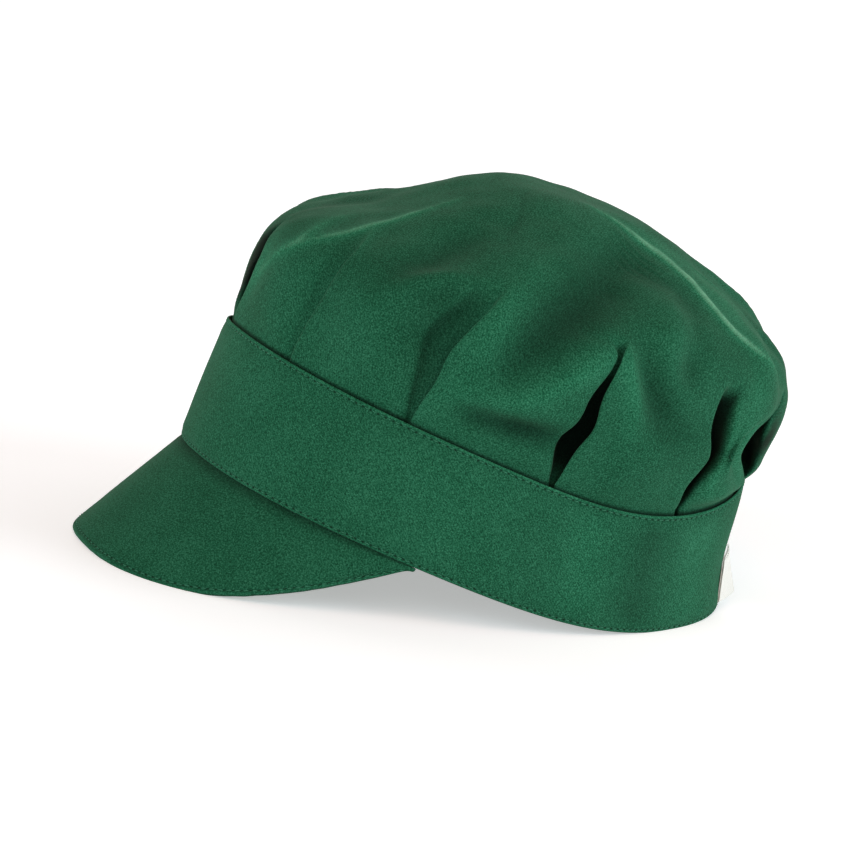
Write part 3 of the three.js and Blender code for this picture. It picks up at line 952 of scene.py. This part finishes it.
    def build(self, cloth: Material) -> Object:
        """Builds the crown.

        Args:
            cloth: The cap's cloth.

        Returns:
            The crown, in the part's frame.
        """
        mesh = subdivided(self.cage())
        self.close_top(mesh)
        points = read_vectors(mesh) / MM
        outward = unit(read_vectors(mesh, "outward"))
        above_seam = points[:, 2] - self.form.seam_height(angle_of(points))
        free = smooth_step(above_seam / self.held_height)
        swell = self.swell * ripple(points, self.swell_length, seed=3)
        swell += self.small_swell * ripple(points, self.small_length, seed=5)
        lift, lighter = self.fold_marks(points)
        # The folds' painted highlights and painted shades go into the cloth's shade attribute.
        darken(mesh, -free * lighter)
        points += outward * (free * (lift + swell))[:, None]
        write_points(mesh, self.form.place(points))
        piece = show("crown_cloth", mesh, cloth)
        thicken(piece, self.cloth_wall)
        return piece


class EdgeStation(NamedTuple):
    """A point of a hemmed section: share of the way across, millimetres past that, millimetres in.

    Shade is painted shade: how much darker the cloth is painted there, as in a gap or under an edge;
    below 0 it is painted highlight, lighter, as on an edge that catches the light.
    """

    share: float
    past: float
    inset: float
    shade: float = 0.0


def edge_stations(*rows: Sequence[float]) -> tuple[EdgeStation, ...]:
    """Edge stations from rows of their numbers; a row of three has no shade."""
    return tuple(EdgeStation(*row) for row in rows)


def flat_cloth(run: Array, height: Array) -> Array:
    """Places on the flat cloth in metres, one row to each height."""
    return np.stack(np.broadcast_arrays(run[None, :], height[:, None]), axis=-1) * MM


class StitchRow(NamedTuple):
    """Where a row's stitches lie: their middles, and the outward and lengthwise direction at each."""

    middles: Array
    outward: Array
    along: Array


class Hemmed:
    """A piece swept along a section of edge stations, and topstitched along some of them."""

    stations: tuple[EdgeStation, ...]
    stitched: tuple[int, ...]
    pitch: float

    def point(self, where: Array, station: EdgeStation, out: float = 0.0) -> Array:
        """Points at places along the piece, so many millimetres out from a station."""
        raise NotImplementedError

    def measure(self, marks: Array, line: Array) -> None:
        """Measures the way along the piece and across its section.

        Args:
            marks: Places along the piece.
            line: The points at those places on the line that is measured.
        """
        self.marks, self.runs = marks, run_along(line)
        self.heights = run_along(np.array([self.point(np.array(0.0), s) for s in self.stations]))
        self.stitches = round(self.runs[-1] / self.pitch)

    def seam_lines(self) -> list[SeamLine]:
        """The rows of topstitching, on the flat cloth."""
        return [SeamLine(self.heights[row], self.runs[-1] / self.stitches) for row in self.stitched]

    def stitch_line(self, row: int, step: float) -> tuple[Array, Array, Array]:
        """Spaces stitches evenly along a station.

        Args:
            row: The station's number.
            step: How far apart the places are that give the lengthwise direction.

        Returns:
            Places along the piece, the points there and the lengthwise directions.
        """
        middles = (np.arange(self.stitches) + 0.5) * self.runs[-1] / self.stitches
        where = np.interp(middles, self.runs, self.marks)
        station = self.stations[row]
        here, before, after = (self.point(where + off, station, 0.1) for off in (0.0, -step, step))
        return where, here, unit(after - before)

    def swept(self, name: str, where: Array, run: Array, gap: float, wraps: bool) -> Mesh:
        """Sweeps the section along the piece.

        Args:
            name: The mesh's name.
            where: Places along the piece, one to each column.
            run: Millimetres along the flat cloth to each column, and round to the first if it wraps.
            gap: Millimetres across the flat cloth from the last station round to the first.
            wraps: Whether the piece goes all round the head.

        Returns:
            The cage's mesh, in the cap's own frame.
        """
        points = np.stack([self.point(where, s) for s in self.stations])
        height = np.append(self.heights, self.heights[-1] + gap)
        shade = np.broadcast_to([[s.shade] for s in self.stations], points.shape[:2])
        return grid_mesh(name, points, flat_cloth(run, height), wraps, True, shade)


class Spot(NamedTuple):
    """A dent or a flare of the band: millimetres out, then its middle and its width each way.

    Round the head these are in degrees, and up the band they are shares of its height.
    """

    out: float
    at: float
    width: float
    up: float
    height: float

    def moved(self, turn: Array, up: Array | float) -> Array:
        """How far out it moves points, by degrees round the head and shares of the band's height."""
        return self.out * bell(turn, self.at, self.width) * bell(np.asarray(up), self.up, self.height)


@dataclass
class Headband(Hemmed):
    """The doubled headband: hemmed below, and open above between its two layers to take the crown.

    It has a dent, a flare of its lower edge at the wearer's left rear, and a join behind. Its patches of
    painted highlight and painted shade are given as angles, widths and how much lighter the cloth is
    painted there.
    """

    form: HeadForm
    columns: int = 190
    lower_row: int = 5
    upper_row: int = 21
    pitch: float = 2.9
    swell: float = 0.4
    swell_length: float = 52.0
    pucker: float = 0.09
    pucker_length: float = 7.0
    puckers_in: float = 4.2
    puckers_width: float = 2.4
    dent: Spot = Spot(-1.5, 160.5, 5.5, 0.47, 0.2)
    flare: Spot = Spot(2.2, 151.0, 14.0, 0.0, 0.2)
    join: float = 0.22
    joins_at: float = 180.0
    join_width: float = 0.45
    rear_reach: float = 95.0

    # Fourth number: painted shade on the lower edge, stitch grooves and slot; painted highlight on hem and
    # lip.
    stations = edge_stations(
        (0, 0, 1, 0.6), (0, 0.08, 0.55, 0.4), (0, 0.35, 0.15, -0.05), (0, 0.75, 0.02, -0.15),
        (0, 1, 0.1, 0.05), (0, 1.3, 0.3, 0.25), (0, 1.6, 0.1, 0.05), (0, 2.4, -0.05), (0, 4.4, -0.1),
        (0.17, 0, -0.1), (0.25, 0, -0.1), (0.34, 0, -0.1), (0.42, 0, -0.1), (0.5, 0, -0.1),
        (0.58, 0, -0.1), (0.66, 0, -0.1), (0.75, 0, -0.1), (0.83, 0, -0.1), (0.9, 0, -0.08),
        (1, -2.4, -0.05), (1, -1.6, 0.1, 0.05), (1, -1.3, 0.3, 0.25), (1, -1, 0.1, 0),
        (1, -0.7, 0.02, -0.2), (1, -0.35, 0.1, -0.4), (1, -0.06, 0.35, -0.5), (1, 0, 0.6, -0.35),
        (1, -0.12, 0.85, 0.1), (1, -0.5, 1, 0.7), (1, -2.5, 1.05, 0.9), (1, -7, 1.1, 0.9), (1, -7.7, 1.6),
        (1, -7.7, 2.8), (1, -7, 3.3), (1, -2.6, 3.3), (1, -1.4, 3.35), (1, -1.1, 3.6), (1, -1.4, 3.85),
        (1, -2.6, 3.9), (1, -7.5, 3.8), (0.7, 0, 3.1), (0.55, 0, 2.7), (0.38, 0, 2.4), (0.22, 0, 2.2),
        (0, 4, 2), (0, 2.2, 1.9), (0, 0.95, 1.95), (0, 0.4, 1.8), (0, 0.08, 1.45),
    )
    # Patches of painted highlight and painted shade across the band: angle, width and how much lighter.
    painted_patches = ((62, 16, 0.1), (100, 7.5, 0.26), (117, 6, -0.26), (136, 8, 0.22), (0, 22, 0.05),
             (-80, 9, 0.16), (-60, 7, -0.1))

    def __post_init__(self) -> None:
        """Measures the way round the band."""
        self.stitched = (self.lower_row, self.upper_row)
        angles = np.linspace(0.0, 2.0 * math.pi, 1441)
        self.measure(angles, self.form.band_point(angles, 0.5, 0.0))

    def point(self, where: Array, station: EdgeStation, out: float = 0.0) -> Array:
        """Points at angles round the band, so many millimetres out from a station."""
        return self.form.band_point(where, station.share, station.inset - out, station.past)

    def stitch_row(self, row: int) -> StitchRow:
        """Where the stitches of a row lie.

        Args:
            row: The station that the row follows.

        Returns:
            The row, in the cap's own frame.
        """
        angle, here, along = self.stitch_line(row, step=math.radians(0.3))
        outward = unit(np.cross(along, np.array([0.0, 0.0, 1.0])))
        outward *= np.sign((outward * here).sum(axis=-1, keepdims=True))
        turn = np.degrees(angle) % 360.0
        here = here + outward * self.flare.moved(turn, self.stations[row].share)[:, None]
        return StitchRow(here, outward, along)

    def build(self, cloth: Material) -> Object:
        """Builds the band.

        Args:
            cloth: The cap's cloth.

        Returns:
            The band, in the part's frame.
        """
        form = self.form
        run = np.linspace(0.0, self.runs[-1], self.columns + 1)
        angle = np.interp(run[:-1], self.runs, self.marks)
        mesh = subdivided(self.swept("headband", angle, run, gap=0.5, wraps=True))
        points = read_vectors(mesh) / MM
        level, theta = unit(points * LEVEL), angle_of(points)
        up = (points[:, 2] - form.rim_height(theta)) / (form.seam_height(theta) - form.rim_height(theta))
        middle = smooth_step(up * 5.0) * smooth_step((1.0 - up) * 5.0)
        from_edge = np.minimum(up, 1.0 - up) * form.band_height
        near_edge = bell(from_edge, self.puckers_in, self.puckers_width)
        turn = np.degrees(theta) % 360.0
        reach = (level * points).sum(axis=-1)
        moved = self.swell * middle * ripple(points, self.swell_length, seed=11)
        moved += self.pucker * near_edge * ripple(points, self.pucker_length, seed=12)
        moved += self.dent.moved(turn, up)
        moved -= self.join * bell(turn, self.joins_at, self.join_width) * reach / self.rear_reach
        # Paints the highlights and shades of those patches across the band's middle.
        for at, width, tone in self.painted_patches:
            darken(mesh, -tone * middle * bell(np.degrees(theta), at, width))
        write_points(mesh, form.place(points + level * (moved + self.flare.moved(turn, up))[:, None]))
        piece = show("headband_cloth", mesh, cloth)
        return piece


@dataclass
class Peak(Hemmed):
    """The stiff peak: two layers of cloth over a stiffener, turned and topstitched round its edge."""

    form: HeadForm
    length: float = 49.6
    end_length: float = 1.5
    half_angle: float = math.radians(60.7)
    rounding: float = 3.27
    fullness: float = 1.255
    droop: float = math.radians(51.3)
    end_droop: float = math.radians(56.0)
    inset: float = 0.4
    columns: int = 84
    stitch_station: int = 10
    pitch: float = 2.9
    swell: float = 0.14
    swell_length: float = 38.0
    small_swell: float = 0.05
    small_length: float = 8.0
    swell_from: float = 45.0
    swell_over: float = 25.0
    whole_section: float = 9.0
    under_band: float = 0.1

    # Fourth number: painted shade under the band, in the stitch groove and round the rim; painted highlight
    # on the roll.
    stations = edge_stations(
        (0, -1.4, 0.5, 0.7), (0, 0.8, 0, 0.45), (0.1, 0, 0, 0.05), (0.25, 0, 0), (0.4, 0, 0),
        (0.55, 0, 0), (0.7, 0, 0), (0.85, 0, 0), (1, -4.2, -0.05), (1, -2.6, 0.08, 0.05),
        (1, -2.2, 0.3, 0.25), (1, -1.8, 0.08, 0.05), (1, -1.1, -0.02), (1, -0.5, 0.08, -0.1),
        (1, -0.12, 0.5, 0.1), (1, 0, 1.1, 0.5), (1, -0.12, 1.7, 0.4), (1, -0.6, 2.1), (1, -1.4, 2.2),
        (1, -2.3, 2.12), (1, -2.7, 1.95), (1, -3.1, 2.12), (0.85, 0, 2.2), (0.6, 0, 2.2), (0.35, 0, 2.2),
        (0.1, 0, 2.2), (0, 0.8, 2.2), (0, -1.4, 1.7),
    )

    def __post_init__(self) -> None:
        """Measures the way along the peak's row of stitches."""
        self.stitched = (self.stitch_station,)
        sides = np.sin(np.linspace(-0.5 * math.pi, 0.5 * math.pi, 1201))
        self.measure(sides, self.point(sides, self.stations[self.stitch_station]))

    def point(self, where: Array, station: EdgeStation, out: float = 0.0) -> Array:
        """Points of the peak.

        Args:
            where: Places from -1 at one end of the peak to 1 at the other.
            station: The place across its section.
            out: Millimetres out from that.

        Returns:
            Points in the cap's own frame.
        """
        side = np.clip(where, -1.0, 1.0)
        angle = self.half_angle * side
        droop = mix(self.droop, self.end_droop, side ** 2)
        full = self.length * (1.0 - np.abs(side) ** self.rounding).clip(0.0) ** self.fullness
        full = np.maximum(full, self.end_length)
        fits = np.minimum(1.0, full / self.whole_section)
        length = full * station.share + station.past * fits
        height = self.form.rim_height(angle) - self.under_band
        start = around(angle, self.form.rim.radius(angle) - self.inset, height)
        zero = np.zeros_like(droop)
        forward = np.stack([zero, -np.cos(droop), -np.sin(droop)], axis=-1)
        sideways = np.stack([np.cos(angle), np.sin(angle), zero], axis=-1)
        down = unit(np.cross(forward, sideways))
        down *= np.where(down[..., 2:] > 0.0, -1.0, 1.0)
        below = np.asarray((station.inset - out) * fits)
        return start + forward * length[..., None] + down * below[..., None]

    def stitch_row(self) -> StitchRow:
        """Where the peak's stitches lie, in the cap's own frame; the two outermost are left out."""
        side, here, along = self.stitch_line(self.stitch_station, step=0.002)
        above = self.point(side, self.stations[self.stitch_station], out=1.1)
        return StitchRow(here[1:-1], unit(above - here)[1:-1], along[1:-1])

    def build(self, cloth: Material) -> Object:
        """Builds the peak.

        Args:
            cloth: The cap's cloth.

        Returns:
            The peak, in the part's frame.
        """
        even = np.linspace(0.0, 1.0, self.columns)
        by_run = np.interp(even * self.runs[-1], self.runs, self.marks)
        side = mix(by_run, np.sin((even - 0.5) * math.pi), 0.5)
        side[0], side[-1] = -1.0, 1.0
        mesh = self.swept("peak", side, np.interp(side, self.marks, self.runs), gap=1.2, wraps=False)
        with edited(mesh) as bm:
            open_ends = [edge for edge in bm.edges if edge.is_boundary]
            bmesh.ops.holes_fill(bm, edges=open_ends, sides=0)
            bmesh.ops.recalc_face_normals(bm, faces=bm.faces)
        mesh = subdivided(mesh)
        points = read_vectors(mesh) / MM
        swell = self.swell * ripple(points, self.swell_length, seed=21)
        swell += self.small_swell * ripple(points, self.small_length, seed=22)
        points[:, 2] += swell * smooth_step((-points[:, 1] - self.swell_from) / self.swell_over)
        write_points(mesh, self.form.place(points))
        return show("peak_cloth", mesh, cloth)


@dataclass
class Label:
    """The small folded label, sewn along its top and standing off the band below."""

    form: HeadForm
    at: float = math.radians(157.0)
    width: float = 16.0
    height: float = 16.0
    top: float = 19.5
    flare: float = 4.0
    twist: float = 2.2
    gap: float = 0.35
    layer_gap: float = 0.4
    wall: float = 0.2
    rows: int = 9
    columns: int = 11
    curve: float = 1.2
    stitches: int = 7
    sewn_across: float = 0.8
    sewn_down: float = 0.07

    def point(self, side: Array, fall: Array | float, off: Array | float) -> Array:
        """A point of the label.

        Args:
            side: From -1 to 1 across the label.
            fall: Share of the way down from its top.
            off: Millimetres in front of its back layer.

        Returns:
            Points in the cap's own frame.
        """
        start = self.form.band_radius(np.array(self.at), 0.4)
        angle = self.at + side * (0.5 * self.width / start)
        drop = fall * self.height
        up = (self.top - drop) / self.form.band_height
        away = (self.flare + self.twist * np.asarray(side)) * np.abs(fall) ** self.curve
        radius = self.form.band_radius(angle, up) + self.gap + off + away
        return around(angle, radius, self.form.rim_height(angle) + self.top - drop)

    def stitch_row(self) -> StitchRow:
        """Where the stitches across the label's top lie, in the cap's own frame."""
        side = np.linspace(-self.sewn_across, self.sewn_across, self.stitches)
        here = self.point(side, self.sewn_down, self.layer_gap * 0.5 + 0.1)
        before, after = (self.point(side + step, self.sewn_down, 0.2) for step in (-0.05, 0.05))
        along = unit(after - before)
        return StitchRow(here, unit(here * LEVEL), along)

    def build(self, tape: Material) -> Object:
        """Builds the label as one strip, doubled at its lower edge.

        Args:
            tape: The label's tape.

        Returns:
            The label, in the part's frame.
        """
        side = np.linspace(-1.0, 1.0, self.columns)
        falls = np.linspace(0.0, 1.0, self.rows)
        front = [(fall, self.layer_gap * min(1.0, 0.3 + 4.0 * fall)) for fall in falls]
        turn = [(1.015, 0.5 * self.layer_gap)]
        back = [(fall, 0.0) for fall in falls[::-1]]
        points = np.stack([self.point(side, fall, off) for fall, off in front + turn + back])
        height = np.linspace(0.0, 2.0 * self.height, len(points))
        flat = flat_cloth(side * 0.5 * self.width, height)
        mesh = subdivided(grid_mesh("label", points, flat, False, False, np.zeros(points.shape[:2])))
        write_points(mesh, self.form.place(read_vectors(mesh) / MM))
        piece = show("label_tape", mesh, tape)
        thicken(piece, self.wall)
        return piece


@dataclass
class Topstitching:
    """Rows of lockstitch, each stitch a short strand that dips into the cloth at both ends."""

    form: HeadForm
    stitch: float = 1.9
    thickness: float = 0.38
    taper: float = 0.35
    lift: float = 0.1
    dip: float = 0.32

    def template(self) -> Mesh:
        """One stitch along X, in millimetres."""
        mesh = bpy.data.meshes.new("stitch")
        with edited(mesh) as bm:
            bmesh.ops.create_cone(bm, cap_ends=True, segments=6, radius1=0.5, radius2=0.5, depth=1.0)
            bmesh.ops.rotate(bm, verts=bm.verts, matrix=Matrix.Rotation(0.5 * math.pi, 3, "Y"))
            lengthwise = [edge for edge in bm.edges if abs(edge.verts[0].co.x - edge.verts[1].co.x) > 0.5]
            bmesh.ops.subdivide_edges(bm, edges=lengthwise, cuts=3)
            for vert in bm.verts:
                x, y, z = vert.co
                end = abs(x) * 2.0
                girth = self.thickness * (1.0 - self.taper * end ** 3)
                vert.co = (x * self.stitch, y * girth, z * girth + self.lift - self.dip * end ** 2)
        return mesh

    def sew(self, name: str, row: StitchRow, thread: Material) -> Object:
        """Sews stitches along a row.

        Args:
            name: The piece's name.
            row: Where the stitches go.
            thread: The thread.

        Returns:
            All the stitches as one piece.
        """
        middles = self.form.place(row.middles)
        outward, along = self.form.turn(row.outward), self.form.turn(row.along)
        template = self.template()
        mesh = bpy.data.meshes.new(name)
        with edited(mesh) as bm:
            for here, out, ahead in zip(middles, outward, along):
                lengthwise = Vector(ahead).normalized()
                across = Vector(out).cross(lengthwise).normalized()
                turned = Matrix((lengthwise, across, lengthwise.cross(across))).transposed().to_4x4()
                placed = Matrix.Translation(Vector(here)) @ turned @ Matrix.Scale(MM, 4)
                template.transform(placed)
                bm.from_mesh(template)
                template.transform(placed.inverted())
        bpy.data.meshes.remove(template)
        return show(name, mesh, thread)


class Softbox(NamedTuple):
    """A square soft light aimed at the cap: degrees round it and above the floor, watts and colour."""

    name: str
    azimuth: float
    elevation: float
    watts: float
    colour: str = "ffffff"


@dataclass
class Studio:
    """The plain floor, the soft lights and the camera at the picture's angle.

    Angles are in degrees. Lengths are in metres, but for the camera's sensor, which is in millimetres.
    """

    azimuth: float = 66.162
    elevation: float = 12.939
    roll: float = 9.247
    distance: float = 1.5
    focal_pixels: float = 4248.7
    sensor: float = 36.0
    floor_size: float = 20.0
    box_distance: float = 4.5
    box_size: float = 2.6
    haze: str = "fff0d8"
    haze_strength: float = 0.03
    target = Vector((-0.00872, 0.00018, 0.04775))
    softboxes = (
        Softbox("left", 18.0, 20.0, 96.0, "f0fbff"),
        Softbox("far_left", 300.0, 20.0, 34.0),
        Softbox("front", 64.0, 22.0, 43.0),
        Softbox("right", 150.0, 20.0, 141.0, "f0fbff"),
        Softbox("back", 240.0, 22.0, 50.0),
        Softbox("back_top", 190.0, 50.0, 40.0),
        Softbox("top", 62.0, 56.0, 34.0, "ffa868"),
    )

    @staticmethod
    def way(azimuth: float, elevation: float) -> Vector:
        """Direction away from the cap, from degrees round it and above the floor."""
        a, e = math.radians(azimuth), math.radians(elevation)
        return Vector((math.sin(a) * math.cos(e), -math.cos(a) * math.cos(e), math.sin(e)))

    def camera(self) -> None:
        """Makes the scene's camera."""
        back = self.way(self.azimuth, self.elevation)
        right = self.way(self.azimuth + 90.0, 0.0)
        up = back.cross(right)
        c, s = math.cos(math.radians(self.roll)), math.sin(math.radians(self.roll))
        turned = Matrix((c * right + s * up, c * up - s * right, back)).transposed().to_4x4()
        turned.translation = self.target + back * self.distance
        data = bpy.data.cameras.new("camera")
        data.sensor_width = self.sensor
        data.sensor_fit = "HORIZONTAL"
        data.lens = self.sensor * self.focal_pixels / PICTURE
        data.clip_end = 60.0
        camera = put("camera", data)
        camera.matrix_world = turned
        bpy.context.scene.camera = camera

    def floor(self, paper: Material) -> None:
        """Lays the floor, of the paper given."""
        mesh = bpy.data.meshes.new("floor")
        with edited(mesh) as bm:
            bmesh.ops.create_grid(bm, x_segments=8, y_segments=8, size=self.floor_size)
        show("floor", mesh, paper)

    def light(self) -> None:
        """Sets the lights and the pale surroundings."""
        world = bpy.data.worlds.new("surroundings")
        world.use_nodes = True
        sky = world.node_tree.nodes["Background"]
        sky.inputs["Color"].default_value = linear_colour(self.haze)
        sky.inputs["Strength"].default_value = self.haze_strength
        bpy.context.scene.world = world
        for box in self.softboxes:
            way = self.way(box.azimuth, box.elevation)
            data = bpy.data.lights.new(box.name, "AREA")
            data.shape = "SQUARE"
            data.size = self.box_size
            data.energy = box.watts
            data.color = linear_colour(box.colour)[:3]
            light = put(box.name, data)
            light.location = self.target + way * self.box_distance
            light.rotation_euler = way.to_track_quat("Z", "Y").to_euler()
        bpy.context.scene.view_settings.view_transform = "Standard"


def dress(piece: Object, slot: str, *nodes: str) -> None:
    """Rides a piece on the cap, and lets it stand for CAD nodes."""
    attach(piece, "root")
    if nodes:
        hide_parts(*nodes)
    LOG.info("%s: %d faces", piece.name, len(piece.data.polygons))


def main() -> None:
    """Sets up the studio, then builds the cap piece by piece and sews its stitches."""
    logging.basicConfig(level=logging.INFO, format="%(name)s: %(message)s")
    form = HeadForm()
    LOG.info("the cap's own frame stands at %s mm", np.round(form.shift, 2))
    studio = Studio()
    studio.camera()
    studio.floor(StudioPaper().make())
    studio.light()
    twill = TwillCloth()
    crown, band, peak, label = Crown(form), Headband(form), Peak(form), Label(form)
    dress(crown.build(twill.make("crown")), "crown_cloth", "crown")
    dress(band.build(twill.make("band", band.seam_lines())), "band_cloth", "headband")
    dress(peak.build(twill.make("peak", peak.seam_lines())), "peak_cloth", "peak")
    dress(label.build(WovenTape().make()), "label_tape", "label")
    thread, sewing = SewingThread().make(), Topstitching(form)
    dress(sewing.sew("band_upper_stitches", band.stitch_row(band.upper_row), thread), "band_cloth")
    dress(sewing.sew("band_lower_stitches", band.stitch_row(band.lower_row), thread), "band_cloth")
    dress(sewing.sew("peak_stitches", peak.stitch_row(), thread), "peak_cloth")
    dress(sewing.sew("label_stitches", label.stitch_row(), thread), "label_tape")


if __name__ == "__main__":
    main()
